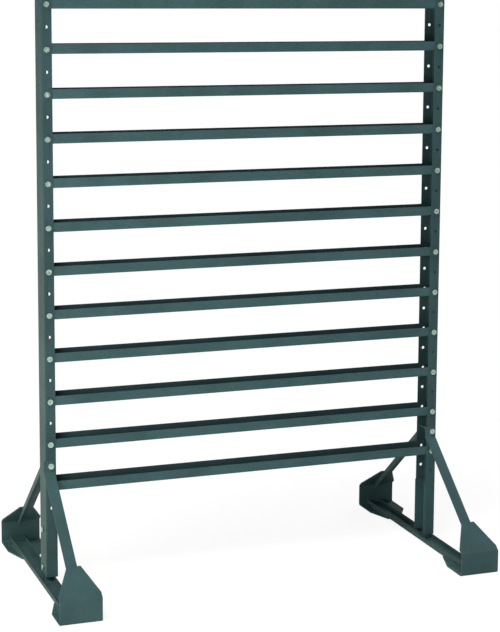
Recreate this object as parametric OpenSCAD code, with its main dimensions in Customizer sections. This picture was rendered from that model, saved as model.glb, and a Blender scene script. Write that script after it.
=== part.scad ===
// Floor-standing rack for hanging bins: two perforated posts, twelve open-topped rails
// bolted between them, and a splayed welded and bolted stand under each post.
// X runs along the rails, -Y is the front, +Z is up, and the floor is at z = 0.

/* [Rack] */
// Height from the floor to the top of the posts
rack_h = 1345; // [1320:5:1400]
// Width over the outer faces of the two posts
rack_w = 990; // [700:10:1100]
// Distance from one rail to the next
rail_pitch = 100; // [90:1:100]

/* [Posts] */
// Front-to-back depth of a post
post_d = 58; // [54:1:66]
// Width of a post's front and rear flanges
post_flange = 25; // [24:1:28]
// Sheet thickness of the posts and rails
sheet_t = 1.5; // [1.2:0.1:2]
// Distance from the top of a post to its first hole
first_hole = 15; // [14:1:18]
// Diameter of the post and rail holes
hole_d = 7; // [6.6:0.1:8]

/* [Rails] */
// Height of a rail
rail_h = 22; // [20:1:26]
// Gap between a rail's end and the web of the post
rail_end_gap = 3.5; // [2:0.5:4]
// Distance from the top edge of a rail to its hole
rail_hole_drop = 12; // [10:0.5:14]

/* [Stand] */
// Front-to-back length of the stand on the floor
stand_l = 600; // [560:10:640]
// Width of a foot
foot_w = 96; // [80:1:110]
// Height of a foot's upright plate
foot_h = 54; // [48:1:60]
// Sheet thickness of a foot
foot_t = 3; // [2.5:0.5:3.5]
// Length of a foot's sloping plate
slope_l = 86; // [76:1:96]
// Width of the sloping plate at its upper end
slope_top_w = 32; // [28:1:40]
// Straight length of a foot's floor plate
sole_l = 75; // [60:1:90]
// Length over which the floor plate narrows to the base bar
sole_taper = 66; // [50:1:80]
// Height of the base bar
bar_h = 12; // [10:1:16]
// Width of the base bar
bar_w = 36; // [30:1:44]
// Height of the stub that the post slides over
stub_l = 130; // [125:1:150]
// Length of a brace's upright tab above its bend
tab_l = 25; // [22:1:27]
// Distance from the brace bolt down to the start of the brace's slope
tab_drop = 8; // [8:0.5:12]

/* [Fasteners] */
// Diameter of the screw threads
thread_d = 6; // [6:0.1:6.4]
// Diameter of the screw heads
head_d = 13; // [11:0.5:14]

/* [Hidden] */
$fn = 48;
RAIL_NAMES = ["rail_01", "rail_02", "rail_03", "rail_04", "rail_05", "rail_06",
              "rail_07", "rail_08", "rail_09", "rail_10", "rail_11", "rail_12"];

rail_count = len(RAIL_NAMES);
LEFT = -1;
RIGHT = 1;
FRONT = 0;
REAR = 180;

paint = [0.24, 0.35, 0.36];
zinc = [0.62, 0.65, 0.60];

bend_r = 3;
fold_steps = 8;
fit = 0.2;
drill = 1;

post_x = rack_w / 2 - post_flange / 2;
post_bottom = foot_t + bar_h;
post_l = rack_h - post_bottom;
hole_pitch = rail_pitch / 2;
hole_count = 2 * rail_count;
// Distances of the two spare holes in a post's web from its top
web_hole_drops = [54, 193];

rail_d = post_d - 2 * sheet_t - 2 * fit;
rail_l = rack_w - 2 * sheet_t - 2 * rail_end_gap;

brace_t = 2;
brace_w = 26;
brace_flange = 13;
// The brace bolt takes the hole half a pitch below the last rail but one
brace_hole = 2 * rail_count - 3;
brace_z = rack_h - first_hole - brace_hole * hole_pitch;
// A front brace lies this far from the post's middle, flush on the right with the base bar
brace_shift = -4;
bar_shift = brace_shift + (brace_w - bar_w) / 2;
// Slope of the braces and of the feet's top plates, from level
slope = atan2(brace_z - tab_drop - foot_h, (stand_l - post_d) / 2 - brace_t);
// The underside of a sloping foot plate meets the plane of the tab's front face here
tab_face_y = -post_d / 2 - brace_t;
under_y = -stand_l / 2 + foot_t * sin(slope);
under_z = foot_h - foot_t * cos(slope);
brace_bend_z = under_z + (tab_face_y - under_y) * tan(slope);
brace_l = (tab_face_y - under_y) / cos(slope);
brace_end_gap = 8;
post_gap = 1;
// Unit directions down the slope, and square to it towards the underside
down = [-cos(slope), -sin(slope)];
under = [sin(slope), -cos(slope)];
fold = 90 - slope;

stub_t = 2;
stub_d = post_d - 2 * sheet_t - 2 * fit;
stub_flange = post_flange + 1;
stub_tongue_w = 40;
stub_hole_z = [post_bottom + 17, post_bottom + 107];
stub_grip = sheet_t + stub_t;
bar_t = 1.5;
bar_bend_r = 2.5;
// Length of the straight side edges of a foot's sloping plate
slope_edge_l = 15;

// Holes in a foot's floor plate: distance from its middle, and from its upright plate
anchor_hole_d = 6;
anchor_holes = [[40, 30], [40, 76]];

head_h = 3.8;
recess_w = 1.3;
recess_l = 6.4;
recess_depth = 2;
nut_af = 10;
nut_h = 5;
thread_out = 2;
rail_grip = 2 * sheet_t;
rail_screw_l = rail_grip + nut_h + thread_out;

// ---- shared profiles -------------------------------------------------------------------

// A block of the 2D plane from x = 0 to l, w wide, with its two corners at x = 0 rounded
module rounded_end(w, l, r) {
    translate([r, -w / 2]) square([l - r, w]);
    translate([0, r - w / 2]) square([r, w - 2 * r]);
    for (s = [-1, 1]) translate([r, s * (w / 2 - r)]) circle(r = r);
}

// A channel section: its web lies along Y at x = 0 and its flanges run to x = flange
module channel_2d(w, flange, t, r) {
    difference() {
        rounded_end(w, flange, r);
        translate([t, 0]) rounded_end(w - 2 * t, flange, r - t);
    }
}

// Points along an arc, for the folds of a bent plate's edge view
function arc(centre, r, from, to) =
    [for (i = [0:fold_steps]) let (a = from + (to - from) * i / fold_steps)
        centre + r * [cos(a), sin(a)]];

// Extrudes a profile drawn in Y and Z along X, centred on x = 0
module along_x(l) {
    rotate([90, 0, 90]) linear_extrude(l, center = true) children();
}

// A round hole along Y from one y to another
module hole_y(d, y0, y1) {
    translate([0, y0, 0]) rotate([-90, 0, 0]) cylinder(d = d, h = y1 - y0);
}

// Places a part of a stand, turned to face the front or the rear
module at_stand(side, turn) {
    translate([side * post_x, 0, 0]) rotate(turn) children();
}

// ---- posts -----------------------------------------------------------------------------

// The left post, with its web outside and its open side towards the rails
module post() {
    color(paint)
    difference() {
        translate([-post_flange / 2, 0, post_bottom])
            linear_extrude(post_l) channel_2d(post_d, post_flange, sheet_t, bend_r);
        for (i = [0:hole_count - 1])
            translate([0, 0, rack_h - first_hole - i * hole_pitch])
                hole_y(hole_d, -post_d / 2 - drill, post_d / 2 + drill);
        for (z = concat(stub_hole_z, rack_h - web_hole_drops[0], rack_h - web_hole_drops[1]))
            translate([-post_flange / 2 - drill, 0, z])
                rotate([0, 90, 0]) cylinder(d = hole_d, h = sheet_t + 2 * drill);
    }
}

module left_post() {
    translate([-post_x, 0, 0]) post();
}

module right_post() {
    mirror([1, 0, 0]) left_post();
}

// ---- rails -----------------------------------------------------------------------------

function rail_top(i) = rack_h - first_hole - i * rail_pitch + rail_hole_drop;

// An open-topped channel with a bolt hole at each end of both of its walls
module rail(i) {
    color(paint)
    difference() {
        translate([0, -fit, rail_top(i) - rail_h])
            rotate([0, -90, 0])
                linear_extrude(rail_l, center = true)
                    channel_2d(rail_d, rail_h, sheet_t, bend_r);
        for (side = [LEFT, RIGHT])
            translate([side * post_x, 0, rail_top(i) - rail_hole_drop])
                hole_y(hole_d, -post_d / 2, post_d / 2);
    }
}

// ---- fasteners -------------------------------------------------------------------------

// A pan-head screw pointing along +Y, with the underside of its head at y = 0
module screw(l) {
    color(zinc)
    difference() {
        rotate([-90, 0, 0]) {
            translate([0, 0, -head_h]) pan_head();
            cylinder(d = thread_d, h = l);
        }
        for (turn = [0, 90])
            translate([0, -head_h, 0]) rotate([0, turn, 0])
                cube([recess_l, 2 * recess_depth, recess_w], center = true);
    }
}

// A domed screw head, flat underneath
module pan_head() {
    dome_r = 2.6;
    rotate_extrude() {
        square([head_d / 2 - dome_r, head_h]);
        square([head_d / 2, head_h - dome_r]);
        intersection() {
            translate([head_d / 2 - dome_r, head_h - dome_r]) circle(r = dome_r);
            square([head_d / 2, head_h]);
        }
    }
}

// A hexagon nut with its bearing face at y = 0, lying towards +Y
module nut() {
    color(zinc)
    rotate([-90, 0, 0])
        difference() {
            cylinder(d = nut_af / cos(30), h = nut_h, $fn = 6);
            translate([0, 0, -drill]) cylinder(d = thread_d, h = nut_h + 2 * drill);
        }
}

// One screw through a post's front flange into the end of each rail
module rail_screws(side) {
    for (i = [0:rail_count - 1])
        translate([side * post_x, -post_d / 2, rail_top(i) - rail_hole_drop])
            screw(rail_screw_l);
}

module rail_nuts(side) {
    for (i = [0:rail_count - 1])
        translate([side * post_x, rail_grip - post_d / 2, rail_top(i) - rail_hole_drop]) nut();
}

// The long bolt that clamps both braces to a post
module brace_bolt(side) {
    grip = post_d + 2 * brace_t;
    translate([side * post_x, -grip / 2, brace_z]) screw(grip + nut_h + thread_out);
}

module brace_nut(side) {
    translate([side * post_x, post_d / 2 + brace_t, brace_z]) nut();
}

// The two screws through a post's web into its stub
module stub_bolts(side) {
    for (z = stub_hole_z)
        translate([side * rack_w / 2, 0, z]) rotate(side * 90)
            screw(stub_grip + nut_h + thread_out);
}

module stub_nuts(side) {
    for (z = stub_hole_z)
        translate([side * (rack_w / 2 - stub_grip), 0, z]) rotate(side * 90) nut();
}

// ---- stands ----------------------------------------------------------------------------

// The channel that joins the front and rear feet, open upwards
module base_bar(side) {
    l = stand_l - 2 * foot_t - 2 * bend_r;
    color(paint)
    translate([side * post_x + bar_shift, 0, foot_t])
        rotate([90, -90, 0])
            linear_extrude(l, center = true) channel_2d(bar_w, bar_h, bar_t, bar_bend_r);
}

// The short upright channel inside the foot of the left post, standing in the base bar
module stub() {
    web_x = sheet_t - post_flange / 2;
    tongue_l = bar_h - bar_t;
    color(paint)
    difference() {
        translate([web_x, 0, post_bottom]) {
            linear_extrude(stub_l) channel_2d(stub_d, stub_flange, stub_t, bend_r);
            translate([0, -stub_tongue_w / 2, -tongue_l])
                cube([stub_t, stub_tongue_w, tongue_l + drill]);
        }
        for (z = stub_hole_z)
            translate([web_x - drill, 0, z])
                rotate([0, 90, 0]) cylinder(d = hole_d, h = stub_t + 2 * drill);
    }
}

module left_base_stub() {
    translate([-post_x, 0, 0]) stub();
}

module right_base_stub() {
    mirror([1, 0, 0]) left_base_stub();
}

// The edge view of a folded foot facing -Y: floor plate, upright plate and sloping plate
function foot_edge() =
    let (outer_r = bend_r + foot_t,
         front_y = -stand_l / 2,
         low = [front_y + outer_r, outer_r],
         high = [front_y + outer_r, foot_h - outer_r * tan(fold / 2)],
         tip = [front_y, foot_h] - slope_l * down,
         back_y = front_y + sole_l + sole_taper)
    concat([[back_y, foot_t], [back_y, 0]],
           arc(low, outer_r, 270, 180),
           arc(high, outer_r, 180, 90 + slope),
           [tip, tip + foot_t * under],
           arc(high, bend_r, 90 + slope, 180),
           arc(low, bend_r, 180, 270));

// What is cut from both sides of a plate foot_w wide, so that it narrows from its full width
// at y = from to the edges left and right at y = to. Each cut runs on past both ends.
module side_cuts_2d(from, to, left, right) {
    far = foot_w / 2 + 2 * drill;
    for (edge = [[-1, left], [1, right]]) {
        full = edge[0] * foot_w / 2;
        over = (full - edge[1]) * drill / (to - from);
        polygon([[full + over, from - drill], [edge[0] * far, from - drill],
                 [edge[0] * far, to + drill], [edge[1] - over, to + drill]]);
    }
}

// A folded foot: its floor plate narrows to the base bar, its sloping plate to the brace
module foot(shift) {
    front_y = -stand_l / 2;
    color(paint)
    difference() {
        along_x(foot_w) polygon(foot_edge());
        translate([0, front_y, -drill]) linear_extrude(foot_t + 2 * drill)
            side_cuts_2d(sole_l, sole_l + sole_taper, shift - bar_w / 2, shift + bar_w / 2);
        translate([0, front_y, foot_h]) rotate([slope, 0, 0])
            translate([0, 0, -2 * foot_t]) linear_extrude(3 * foot_t)
                side_cuts_2d(slope_edge_l, slope_l, -slope_top_w / 2, slope_top_w / 2);
        for (s = [-1, 1], at = anchor_holes)
            translate([s * at[0], front_y + at[1], -drill])
                cylinder(d = anchor_hole_d, h = foot_t + 2 * drill);
    }
}

// The edge view of a brace's face: a tab against the post, then the slope
function brace_edge() =
    let (corner = [tab_face_y, brace_bend_z],
         centre = corner + [-bend_r, bend_r * tan(fold / 2)],
         end = corner + (brace_l - brace_end_gap) * down,
         tab_z = brace_bend_z + tab_l)
    concat([[tab_face_y + brace_t, tab_z], [tab_face_y, tab_z]],
           arc(centre, bend_r, 0, -fold),
           [end, end + brace_t * under],
           arc(centre, bend_r + brace_t, -fold, 0));

// The outline of a brace's flange, which stops short of the post at its upper end
function flange_edge() =
    let (corner = [tab_face_y, brace_bend_z],
         deep = brace_t / 2,
         l = brace_l - brace_end_gap - brace_t)
    [for (at = [[flange_start(deep), deep], [flange_start(brace_flange), brace_flange],
                [l, brace_flange], [l, deep]])
        corner + at[0] * down + at[1] * under];

// How far down the slope the flange starts at one depth below the face, clear of the post
function flange_start(depth) =
    bend_r + (depth * sin(slope) - brace_t + post_gap) / cos(slope);

// An angle brace facing -Y: a bolted tab, then a slope down under the foot's plate
module brace() {
    color(paint)
    difference() {
        translate([brace_shift, 0, 0]) {
            along_x(brace_w) polygon(brace_edge());
            translate([(brace_w - brace_t) / 2, 0, 0]) along_x(brace_t) polygon(flange_edge());
        }
        translate([0, 0, brace_z])
            hole_y(hole_d, tab_face_y - drill, tab_face_y + brace_t + drill);
    }
}

module left_base_bar() { base_bar(LEFT); }
module right_base_bar() { base_bar(RIGHT); }
module left_front_foot() { at_stand(LEFT, FRONT) foot(bar_shift); }
module left_rear_foot() { at_stand(LEFT, REAR) foot(-bar_shift); }
module right_front_foot() { at_stand(RIGHT, FRONT) foot(bar_shift); }
module right_rear_foot() { at_stand(RIGHT, REAR) foot(-bar_shift); }
module left_front_brace() { at_stand(LEFT, FRONT) brace(); }
module left_rear_brace() { at_stand(LEFT, REAR) brace(); }
module right_front_brace() { at_stand(RIGHT, FRONT) brace(); }
module right_rear_brace() { at_stand(RIGHT, REAR) brace(); }

// ---- assembly --------------------------------------------------------------------------

left_post();
right_post();
for (i = [0:rail_count - 1]) rail(i);
rail_screws(LEFT);  // left_rail_screws
rail_screws(RIGHT);  // right_rail_screws
rail_nuts(LEFT);  // left_rail_nuts
rail_nuts(RIGHT);  // right_rail_nuts
left_base_bar();
right_base_bar();
left_base_stub();
right_base_stub();
left_front_foot();
left_rear_foot();
right_front_foot();
right_rear_foot();
left_front_brace();
left_rear_brace();
right_front_brace();
right_rear_brace();
brace_bolt(LEFT);  // left_brace_bolt
brace_bolt(RIGHT);  // right_brace_bolt
brace_nut(LEFT);  // left_brace_nut
brace_nut(RIGHT);  // right_brace_nut
stub_bolts(LEFT);  // left_stub_bolts
stub_bolts(RIGHT);  // right_stub_bolts
stub_nuts(LEFT);  // left_stub_nuts
stub_nuts(RIGHT);  // right_stub_nuts
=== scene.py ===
import math
import random

import bmesh
import bpy
from mathutils import Matrix, Vector


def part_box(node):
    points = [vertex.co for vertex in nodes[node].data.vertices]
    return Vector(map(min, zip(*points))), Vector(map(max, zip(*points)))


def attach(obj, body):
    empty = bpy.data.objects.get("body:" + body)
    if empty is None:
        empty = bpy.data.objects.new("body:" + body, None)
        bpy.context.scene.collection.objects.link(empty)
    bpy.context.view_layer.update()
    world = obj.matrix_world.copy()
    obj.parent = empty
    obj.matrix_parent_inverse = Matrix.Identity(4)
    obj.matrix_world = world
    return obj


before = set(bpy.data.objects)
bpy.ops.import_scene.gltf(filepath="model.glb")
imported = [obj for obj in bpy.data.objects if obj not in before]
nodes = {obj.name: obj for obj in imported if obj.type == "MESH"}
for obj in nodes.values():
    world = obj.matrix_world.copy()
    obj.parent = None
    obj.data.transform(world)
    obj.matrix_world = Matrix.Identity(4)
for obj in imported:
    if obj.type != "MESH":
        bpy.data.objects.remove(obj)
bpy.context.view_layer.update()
MM = 0.001

# ---- where things are, from the frame ---------------------------------------------------

SIDES = ("left", "right")
ENDS = ("front", "rear")
RAIL_COUNT = 12


def centre(node):
    """The middle of a CAD node's box."""
    a, b = (Vector(c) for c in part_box(node))
    return (a + b) / 2


# ---- materials --------------------------------------------------------------------------


def new_material(name):
    """An empty node material, with its tree and its shader."""
    mat = bpy.data.materials.new(name)
    mat.use_nodes = True
    tree = mat.node_tree
    shader = tree.nodes["Principled BSDF"]
    return mat, tree, shader


def add(tree, kind, **values):
    """A node with its properties set and, where the name is an input's, its input set."""
    node = tree.nodes.new(kind)
    for key, value in values.items():
        if key in node.inputs:
            node.inputs[key].default_value = value
        else:
            setattr(node, key, value)
    return node


def noise(tree, coords, scale, detail=3.0, roughness=0.55):
    """A noise texture in the object's own coordinates."""
    tex = add(tree, "ShaderNodeTexNoise", Scale=scale, Detail=detail, Roughness=roughness)
    tree.links.new(coords, tex.inputs["Vector"])
    return tex.outputs["Fac"]


def ramp(tree, value, stops):
    """Maps a value to another through (position, value) stops."""
    node = tree.nodes.new("ShaderNodeValToRGB")
    elements = node.color_ramp.elements
    while len(elements) < len(stops):
        elements.new(0.5)
    for element, (position, level) in zip(elements, stops):
        element.position = position
        element.color = (level, level, level, 1.0)
    tree.links.new(value, node.inputs["Fac"])
    return node.outputs["Color"]


def mix(tree, factor, a, b, blend="MIX"):
    """Mixes two colours, each a socket or a colour."""
    node = add(tree, "ShaderNodeMix", data_type="RGBA", blend_type=blend)
    for socket, value in ((node.inputs[0], factor), (node.inputs[6], a), (node.inputs[7], b)):
        if isinstance(value, bpy.types.NodeSocket):
            tree.links.new(value, socket)
        else:
            socket.default_value = value
    return node.outputs[2]


def edge_mask(tree, radius, low_stop, high_stop):
    """1 on sharp edges and 0 on flats, from how far the bevelled normal leans."""
    bevel = add(tree, "ShaderNodeBevel", samples=6, Radius=radius)
    geometry = tree.nodes.new("ShaderNodeNewGeometry")
    dot = add(tree, "ShaderNodeVectorMath", operation="DOT_PRODUCT")
    tree.links.new(bevel.outputs["Normal"], dot.inputs[0])
    tree.links.new(geometry.outputs["Normal"], dot.inputs[1])
    return ramp(tree, dot.outputs["Value"], [(low_stop, 1.0), (high_stop, 0.0)])


def bump(tree, shader, heights):
    """Chains bump nodes onto the shader's normal, from (height, strength, distance)."""
    normal = None
    for height, strength, distance in heights:
        node = add(tree, "ShaderNodeBump", Strength=strength, Distance=distance)
        tree.links.new(height, node.inputs["Height"])
        if normal:
            tree.links.new(normal, node.inputs["Normal"])
        normal = node.outputs["Normal"]
    tree.links.new(normal, shader.inputs["Normal"])


def paint_material(name, colour):
    """Satin stoving enamel: faint orange peel and mottling, and sharp edges made paler with a
    painted highlight, in patches.
    """
    mat, tree, shader = new_material(name)
    coords = tree.nodes.new("ShaderNodeTexCoord").outputs["Object"]
    mottle = ramp(tree, noise(tree, coords, 9.0, 4.0), [(0.35, 0.0), (0.65, 1.0)])
    speck = ramp(tree, noise(tree, coords, 240.0, 2.0), [(0.42, 0.0), (0.62, 1.0)])
    deep = tuple(0.88 * c for c in colour) + (1.0,)
    pale = tuple(min(1.0, 1.12 * c + 0.002) for c in colour) + (1.0,)
    base = mix(tree, mottle, deep, pale)
    fine = mix(tree, 0.05, base, speck, "OVERLAY")
    # Painted highlight: sharp edges are lightened where they would catch the light, broken up by
    # patchy noise
    edge_highlight_colour = tuple(min(1.0, 1.9 * c + 0.02) for c in colour) + (1.0,)
    edge = edge_mask(tree, 0.0012, 0.72, 0.97)
    patchy = ramp(tree, noise(tree, coords, 55.0, 5.0), [(0.38, 0.15), (0.66, 1.0)])
    edge_highlight_mask = mix(tree, 1.0, edge, patchy, "MULTIPLY")
    edge_highlight_strength = mix(tree, 1.0, edge_highlight_mask, (0.55, 0.55, 0.55, 1.0), "MULTIPLY")
    tree.links.new(mix(tree, edge_highlight_strength, fine, edge_highlight_colour), shader.inputs["Base Color"])
    rough = ramp(tree, noise(tree, coords, 30.0, 4.0), [(0.3, 0.50), (0.7, 0.62)])
    tree.links.new(rough, shader.inputs["Roughness"])
    shader.inputs["Specular IOR Level"].default_value = 0.27
    bump(tree, shader, [(noise(tree, coords, 420.0, 1.5), 0.05, 0.0001),
                        (noise(tree, coords, 45.0, 2.0), 0.05, 0.0003)])
    return mat


def zinc_material():
    """Bright zinc plate with a faint green-yellow passivation and a fine cold-headed grain."""
    mat, tree, shader = new_material("zinc_plate")
    coords = tree.nodes.new("ShaderNodeTexCoord").outputs["Object"]
    patch = ramp(tree, noise(tree, coords, 160.0, 3.0), [(0.35, 0.0), (0.65, 1.0)])
    base = mix(tree, patch, (0.42, 0.62, 0.52, 1.0), (0.68, 0.84, 0.74, 1.0))
    edge = edge_mask(tree, 0.0005, 0.75, 0.98)
    tree.links.new(mix(tree, edge, base, (0.60, 0.74, 0.66, 1.0)), shader.inputs["Base Color"])
    rough = ramp(tree, noise(tree, coords, 500.0, 2.0), [(0.3, 0.22), (0.7, 0.34)])
    tree.links.new(rough, shader.inputs["Roughness"])
    shader.inputs["Metallic"].default_value = 0.85
    bump(tree, shader, [(noise(tree, coords, 900.0, 2.0), 0.15, 0.0001)])
    return mat


# How much of what the camera sees of the floor is its own glow
FLOOR_GLOW_SHARE = 0.8
# The sky's strength to the camera, and as a light
SKY_SEEN = 1.0
SKY_LIGHT = 0.05


def floor_material():
    """A matt, near-white studio floor, overexposed to the eye so that shadows stay faint."""
    mat, tree, shader = new_material("studio_floor")
    coords = tree.nodes.new("ShaderNodeTexCoord").outputs["Object"]
    tone = ramp(tree, noise(tree, coords, 3.0), [(0.3, 0.86), (0.7, 0.88)])
    tree.links.new(tone, shader.inputs["Base Color"])
    shader.inputs["Roughness"].default_value = 0.9
    shader.inputs["Specular IOR Level"].default_value = 0.1
    glow = add(tree, "ShaderNodeEmission", Strength=1.12)
    seen = tree.nodes.new("ShaderNodeLightPath").outputs["Is Camera Ray"]
    share = add(tree, "ShaderNodeMath", operation="MULTIPLY")
    tree.links.new(seen, share.inputs[0])
    share.inputs[1].default_value = FLOOR_GLOW_SHARE
    blend = tree.nodes.new("ShaderNodeMixShader")
    tree.links.new(share.outputs[0], blend.inputs[0])
    tree.links.new(shader.outputs[0], blend.inputs[1])
    tree.links.new(glow.outputs[0], blend.inputs[2])
    tree.links.new(blend.outputs[0], tree.nodes["Material Output"].inputs["Surface"])
    return mat


PAINT = (0.047, 0.105, 0.110)


def shade(factor):
    return tuple(factor * c for c in PAINT)


# One enamel at several depths, which are painted shade and painted light. The real paint is taken
# to be the same everywhere: the posts, the rear feet and braces, the base bars and the welds are
# darkened with painted shade, and the rails are lightened with painted light, to make up for what
# these lights don't shade as the real ones did
post_paint_shaded = paint_material("post_enamel_painted_shade", shade(0.84))
rail_paint_lightened = paint_material("rail_enamel_painted_light", shade(1.08))
stand_paint = paint_material("stand_enamel", shade(1.0))
rear_paint_shaded = paint_material("rear_stand_enamel_painted_shade", shade(0.82))
bar_paint_shaded = paint_material("base_bar_enamel_painted_shade", shade(0.72))
weld_paint_shaded = paint_material("enamel_over_weld_painted_shade", shade(0.9))
zinc = zinc_material()

MERGE_GAP = 0.01 * MM
SHEET_EDGE_R = 0.3 * MM
ZINC_EDGE_R = 0.15 * MM
SHARP_ANGLE = math.radians(40)
ZINC_WORDS = ("screws", "bolt", "bolts", "nut", "nuts")


def is_zinc(name):
    return name.split("_")[-1] in ZINC_WORDS


def cad_material(name):
    if is_zinc(name):
        return zinc
    if name.endswith("post"):
        return post_paint_shaded
    if name.startswith("rail"):
        return rail_paint_lightened
    if name.endswith("base_bar"):
        return bar_paint_shaded
    return rear_paint_shaded if "_rear_" in name else stand_paint


def finish_cad_nodes():
    """Gives each CAD node its material, and a small real radius on its sheared edges."""
    for name, obj in nodes.items():
        mat = cad_material(name)
        obj.data.materials.clear()
        obj.data.materials.append(mat)
        weld = obj.modifiers.new("weld", "WELD")
        weld.merge_threshold = MERGE_GAP
        bevel = obj.modifiers.new("edge_radius", "BEVEL")
        bevel.width = ZINC_EDGE_R if is_zinc(name) else SHEET_EDGE_R
        bevel.segments = 2
        bevel.limit_method = "ANGLE"
        bevel.angle_limit = SHARP_ANGLE
        bevel.use_clamp_overlap = True
        bevel.harden_normals = False


# ---- mesh pieces ------------------------------------------------------------------------


def new_piece(name, bm, mat):
    """Makes an object of a bmesh that rides on the rack."""
    mesh = bpy.data.meshes.new(name)
    bm.to_mesh(mesh)
    bm.free()
    for polygon in mesh.polygons:
        polygon.use_smooth = True
    mesh.materials.append(mat)
    obj = bpy.data.objects.new(name, mesh)
    bpy.context.scene.collection.objects.link(obj)
    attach(obj, "root")
    return obj


def tube(bm, centres, radii, frames, sides):
    """Adds a closed tube with a ring of the given radii (across, up) at each centre."""
    rings = []
    for middle, (ra, rb), (across, up) in zip(centres, radii, frames):
        ring = []
        for k in range(sides):
            a = 2 * math.pi * k / sides
            ring.append(bm.verts.new(middle + ra * math.cos(a) * across + rb * math.sin(a) * up))
        rings.append(ring)
    for first, second in zip(rings, rings[1:]):
        for k in range(sides):
            j = (k + 1) % sides
            bm.faces.new((first[k], first[j], second[j], second[k]))
    bm.faces.new(list(reversed(rings[0])))
    bm.faces.new(rings[-1])


BEAD_STEP = 0.45 * MM
BEAD_RIPPLE = 1.5 * MM
BEAD_SIDES = 10


def weld_bead(bm, start, end, lean, size, rng):
    """A rippled fillet bead between two points, its section leaning along the vector lean."""
    start, end = Vector(start), Vector(end)
    run = end - start
    length = run.length
    along = run.normalized()
    up = Vector(lean).normalized()
    across = along.cross(up)
    count = max(6, int(length / BEAD_STEP))
    centres, radii = [], []
    wobble = 0.0
    for i in range(count + 1):
        t = i / count
        s = t * length
        wobble = 0.85 * wobble + 0.15 * rng.uniform(-1, 1)
        taper = min(1.0, s / size, (length - s) / size)
        taper = math.sqrt(max(0.04, taper))
        phase = (s / BEAD_RIPPLE) % 1.0
        swell = 1.0 + 0.13 * math.sqrt(1.0 - (2 * phase - 1) ** 2) + 0.10 * wobble
        centres.append(start + along * s + across * (0.25 * size * wobble))
        radii.append((size * taper * swell, size * taper * swell))
    tube(bm, centres, radii, [(across, up)] * len(centres), BEAD_SIDES)


THREAD_STEPS = 28


def thread(bm, tip, axis, length, radius, pitch):
    """A rolled thread round a bolt's end: one helical ridge that fades out at both ends."""
    tip, axis = Vector(tip), Vector(axis).normalized()
    across = axis.orthogonal().normalized()
    up = axis.cross(across)
    turns = length / pitch
    count = int(turns * THREAD_STEPS)
    depth = 0.28 * pitch
    half = 0.42 * pitch
    flat = 0.08 * pitch
    rows = []
    for i in range(count + 1):
        t = i / count
        a = 2 * math.pi * turns * t
        out = across * math.cos(a) + up * math.sin(a)
        fade = min(1.0, 6 * t, 6 * (1 - t))
        base = tip - axis * length * (1 - t)
        inner = radius - 0.25 * depth
        crest = radius + depth * fade
        rows.append([bm.verts.new(base + out * inner - axis * half),
                     bm.verts.new(base + out * crest - axis * flat),
                     bm.verts.new(base + out * crest + axis * flat),
                     bm.verts.new(base + out * inner + axis * half)])
    for first, second in zip(rows, rows[1:]):
        for k in range(4):
            j = (k + 1) % 4
            bm.faces.new((first[k], second[k], second[j], first[j]))
    bm.faces.new(list(reversed(rows[0])))
    bm.faces.new(rows[-1])


# ---- camera, light and floor ------------------------------------------------------------


def build_camera():
    """The photograph's eye: left of the rack, at standing height, level lines nearly level."""
    data = bpy.data.cameras.new("camera")
    camera = bpy.data.objects.new("camera", data)
    bpy.context.scene.collection.objects.link(camera)
    frame_side_px = 632
    focal_px = 1738.6
    data.sensor_width = 36.0
    data.lens = focal_px * data.sensor_width / frame_side_px
    data.shift_y = -0.15
    yaw, pitch, roll = 0.3508, -0.1380, 0.0057
    forward = Vector((math.sin(yaw) * math.cos(pitch), math.cos(yaw) * math.cos(pitch),
                      math.sin(pitch)))
    level = Vector((math.cos(yaw), -math.sin(yaw), 0.0))
    upright = level.cross(forward)
    right = level * math.cos(roll) + upright * math.sin(roll)
    up = upright * math.cos(roll) - level * math.sin(roll)
    place = Vector((-1.386, -3.817, 1.386))
    rows = [[right[i], up[i], -forward[i], place[i]] for i in range(3)]
    camera.matrix_world = Matrix(rows + [[0.0, 0.0, 0.0, 1.0]])
    bpy.context.scene.camera = camera


def sun(name, strength, azimuth, elevation, spread, colour):
    """A soft sun. Azimuth 0 comes from the front and turns towards the right."""
    data = bpy.data.lights.new(name, "SUN")
    data.energy, data.angle, data.color = strength, math.radians(spread), colour
    light = bpy.data.objects.new(name, data)
    a, e = math.radians(azimuth), math.radians(elevation)
    source = Vector((math.sin(a) * math.cos(e), -math.cos(a) * math.cos(e), math.sin(e)))
    light.rotation_mode = "QUATERNION"
    light.rotation_quaternion = source.to_track_quat("Z", "Y")
    bpy.context.scene.collection.objects.link(light)


def softbox(name, power, size, place, target, colour):
    """A square area light aimed at a point."""
    data = bpy.data.lights.new(name, "AREA")
    data.energy, data.size, data.color = power, size, colour
    light = bpy.data.objects.new(name, data)
    light.location = place
    light.rotation_mode = "QUATERNION"
    light.rotation_quaternion = (Vector(place) - Vector(target)).to_track_quat("Z", "Y")
    light.visible_camera = False
    bpy.context.scene.collection.objects.link(light)


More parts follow.
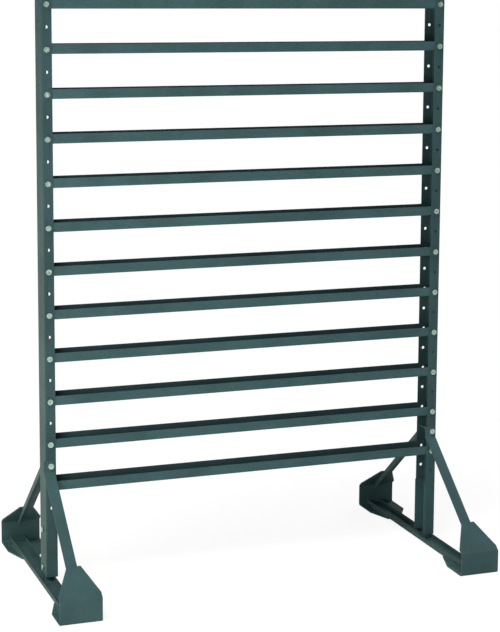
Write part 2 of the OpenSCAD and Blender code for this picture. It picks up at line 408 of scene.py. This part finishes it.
def build_light():
    """A high key from the left, a fill in front of it, and a low warm box beside the left post."""
    sun("key", 1.65, -50, 62, 25, (1.0, 1.0, 1.0))
    sun("behind", 0.8, 130, 38, 30, (1.0, 1.0, 1.0))
    softbox("fill", 24, 1.2, (-1.45, -1.9, 0.95), (0.0, 0.0, 0.7), (1.0, 1.0, 1.0))
    softbox("left_box", 10, 0.8, (-1.7, 0.3, 0.35), (-0.5, 0.0, 0.35), (1.0, 0.93, 0.62))
    world = bpy.data.worlds.new("world")
    world.use_nodes = True
    tree = world.node_tree
    background = tree.nodes["Background"]
    seen = tree.nodes.new("ShaderNodeLightPath").outputs["Is Camera Ray"]
    strength = add(tree, "ShaderNodeMath", operation="MULTIPLY_ADD")
    tree.links.new(seen, strength.inputs[0])
    strength.inputs[1].default_value = SKY_SEEN - SKY_LIGHT
    strength.inputs[2].default_value = SKY_LIGHT
    tree.links.new(strength.outputs[0], background.inputs["Strength"])
    background.inputs["Color"].default_value = (1.0, 1.0, 1.0, 1.0)
    bpy.context.scene.world = world
    bpy.context.scene.view_settings.view_transform = "Standard"


# Metres, so that the floor's far edge stays out of sight
FLOOR_HALF = 600.0


def build_floor():
    bm = bmesh.new()
    bmesh.ops.create_grid(bm, x_segments=1, y_segments=1, size=FLOOR_HALF)
    mesh = bpy.data.meshes.new("floor")
    bm.to_mesh(mesh)
    bm.free()
    mesh.materials.append(floor_material())
    floor = bpy.data.objects.new("floor", mesh)
    bpy.context.scene.collection.objects.link(floor)


# ---- pieces on the rack -----------------------------------------------------------------


# The feet's slope and the height of their upright plates
SLOPE = math.radians(39.0)
FOOT_H = 54 * MM
# The beads beside a base bar start this far in from the end of the foot's floor plate, and end
# this far from the rack's middle
BEAD_START = 4 * MM
BEAD_END_Y = 0.262
BAR_BEAD_R = 1.9 * MM
TIP_BEAD_R = 1.7 * MM
STUB_BEAD_R = 1.3 * MM
# How far the bead across a slope's tip lies below the plate's upper face
TIP_SINK = 2 * MM
# How far that bead stops short of the brace's edges
TIP_INSET = 2 * MM
# The stub's tongue: half the length of its beads, its thickness, and their depth in it
TONGUE_HALF = 19 * MM
TONGUE_T = 2 * MM
TONGUE_INSET = 0.4 * MM


def build_foot_welds(side, end, rng):
    """Beads along both sides of the base bar on a foot, and across the tip of its slope."""
    way = -1 if end == "front" else 1
    bar_low, bar_high = (Vector(c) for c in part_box(f"{side}_base_bar"))
    foot_low, foot_high = (Vector(c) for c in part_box(f"{side}_{end}_foot"))
    brace_low, brace_high = (Vector(c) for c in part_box(f"{side}_{end}_brace"))
    inner_y = foot_high.y if way < 0 else foot_low.y
    outer_y = foot_low.y if way < 0 else foot_high.y
    bm = bmesh.new()
    for x, lean in ((bar_low.x, -1), (bar_high.x, 1)):
        start = (x, inner_y + way * BEAD_START, bar_low.z)
        end_point = (x, way * BEAD_END_Y, bar_low.z)
        weld_bead(bm, start, end_point, (lean, 0, 1), BAR_BEAD_R, rng)
    tip_y = outer_y - way * (foot_high.z - FOOT_H) / math.tan(SLOPE)
    y = tip_y - way * TIP_SINK * math.sin(SLOPE)
    z = foot_high.z - TIP_SINK * math.cos(SLOPE)
    weld_bead(bm, (brace_low.x + TIP_INSET, y, z), (brace_high.x - TIP_INSET, y, z),
              (0, way * math.cos(SLOPE), math.sin(SLOPE)), TIP_BEAD_R, rng)
    new_piece(f"{side}_{end}_foot_weld", bm, weld_paint_shaded)


def build_stub_weld(side, rng):
    """Beads at the foot of the stub's tongue, where it stands against the base bar."""
    stub_low, stub_high = (Vector(c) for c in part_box(f"{side}_base_stub"))
    out = -1 if side == "left" else 1
    face_x = stub_low.x if side == "left" else stub_high.x
    z = stub_low.z + TONGUE_INSET
    bm = bmesh.new()
    for x in (face_x + out * TONGUE_INSET, face_x - out * (TONGUE_T + TONGUE_INSET)):
        weld_bead(bm, (x, -TONGUE_HALF, z), (x, TONGUE_HALF, z), (0, 0, 1), STUB_BEAD_R, rng)
    new_piece(f"{side}_stub_weld", bm, weld_paint_shaded)


def build_welds():
    """Fillet beads that join each stand's bar, stub, feet and braces."""
    rng = random.Random(7)
    for side in SIDES:
        for end in ENDS:
            build_foot_welds(side, end, rng)
        build_stub_weld(side, rng)


THREAD_REACH = 1.5 * MM
THREAD_ROOT_R = 2.9 * MM
THREAD_PITCH = 1.0 * MM
# From a rail's top edge down to its screw, and the radius of a screw head
HOLE_DROP = 12 * MM
HEAD_R = 6.5 * MM


def new_threads(name, tips):
    """One piece with a thread at each (tip, direction) of a bolt."""
    bm = bmesh.new()
    for tip, axis in tips:
        start = Vector(tip) - Vector(axis) * 0.5 * THREAD_PITCH
        thread(bm, start, axis, THREAD_REACH, THREAD_ROOT_R, THREAD_PITCH)
    new_piece(name, bm, zinc)


def build_threads():
    """Rolled threads on the ends of the screws and bolts that stand out of their nuts."""
    for side in SIDES:
        inward = 1 if side == "left" else -1
        middle = centre(f"{side}_rail_screws")
        tip_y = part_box(f"{side}_rail_screws")[1][1]
        rows = [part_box(f"rail_{i:02d}")[1][2] - HOLE_DROP for i in range(1, RAIL_COUNT + 1)]
        new_threads(f"{side}_rail_screw_threads",
                    [((middle.x, tip_y, z), (0, 1, 0)) for z in rows])
        middle = centre(f"{side}_brace_bolt")
        tip_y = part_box(f"{side}_brace_bolt")[1][1]
        new_threads(f"{side}_brace_bolt_thread", [((middle.x, tip_y, middle.z), (0, 1, 0))])
        bolt_low, bolt_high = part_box(f"{side}_stub_bolts")
        tip_x = bolt_high[0] if side == "left" else bolt_low[0]
        new_threads(f"{side}_stub_bolt_threads",
                    [((tip_x, 0, z), (inward, 0, 0))
                     for z in (bolt_low[2] + HEAD_R, bolt_high[2] - HEAD_R)])


build_camera()
build_light()
build_floor()
finish_cad_nodes()
build_welds()
build_threads()
